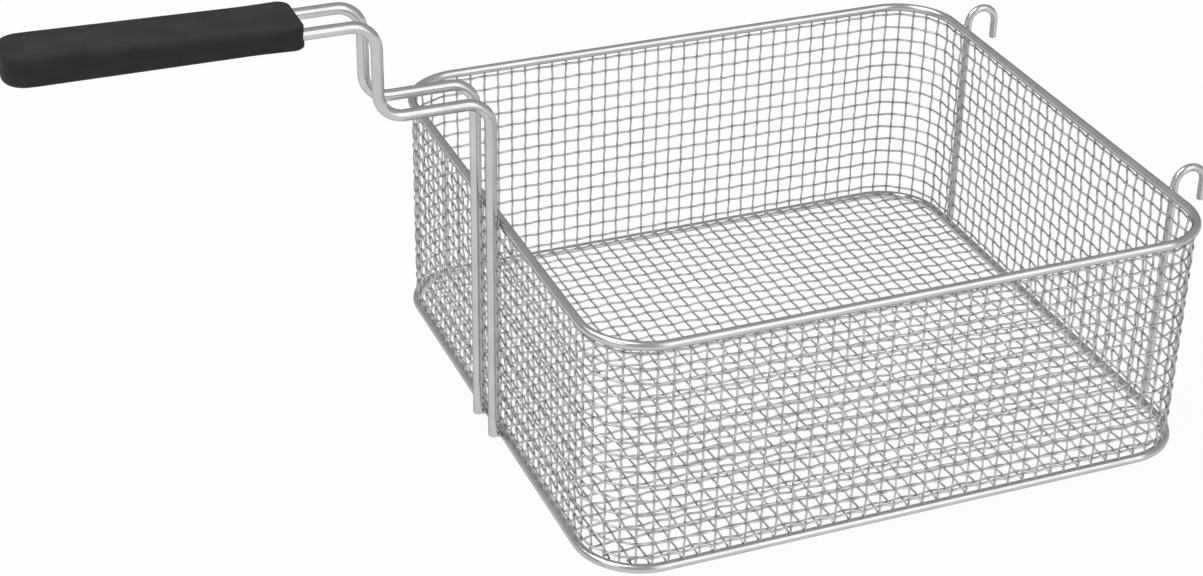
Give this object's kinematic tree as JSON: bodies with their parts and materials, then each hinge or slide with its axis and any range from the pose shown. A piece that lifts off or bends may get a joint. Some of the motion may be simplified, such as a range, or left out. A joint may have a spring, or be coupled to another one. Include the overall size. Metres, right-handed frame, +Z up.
{
  "type": "deep fryer basket",
  "caption": "Rectangular wire mesh fryer basket with rounded corners, raised cranked handle with a flat black grip, and drain hooks on the opposite wall.",
  "frame": {"origin": "middle of the base ring, at the level of the surface the basket stands on", "axes": "+X from the handle wall to the hook wall, +Y across the basket, +Z up"},
  "size_m": [0.5019, 0.268, 0.2169],
  "materials": {
    "plated_wire": "bright plated steel wire",
    "mesh_wire": "plated woven steel wire, duller than the frame",
    "grip_plastic": "black moulded plastic, satin"
  },
  "bodies": {
    "root": {"base_ring": "plated_wire", "top_rim": "plated_wire", "handle_wire": "plated_wire", "hook_near": "plated_wire", "hook_far": "plated_wire", "wall_hoop_01": "mesh_wire", "wall_hoop_02": "mesh_wire", "wall_hoop_03": "mesh_wire", "wall_hoop_04": "mesh_wire", "wall_hoop_05": "mesh_wire", "wall_hoop_06": "mesh_wire", "wall_hoop_07": "mesh_wire", "wall_hoop_08": "mesh_wire", "wall_hoop_09": "mesh_wire", "wall_hoop_10": "mesh_wire", "wall_hoop_11": "mesh_wire", "wall_hoop_12": "mesh_wire", "wall_hoop_13": "mesh_wire", "wall_hoop_14": "mesh_wire", "wall_hoop_15": "mesh_wire", "wall_uprights": "mesh_wire", "base_wires_long": "mesh_wire", "base_wires_cross": "mesh_wire", "grip": "grip_plastic"}
  },
  "joints": []
}
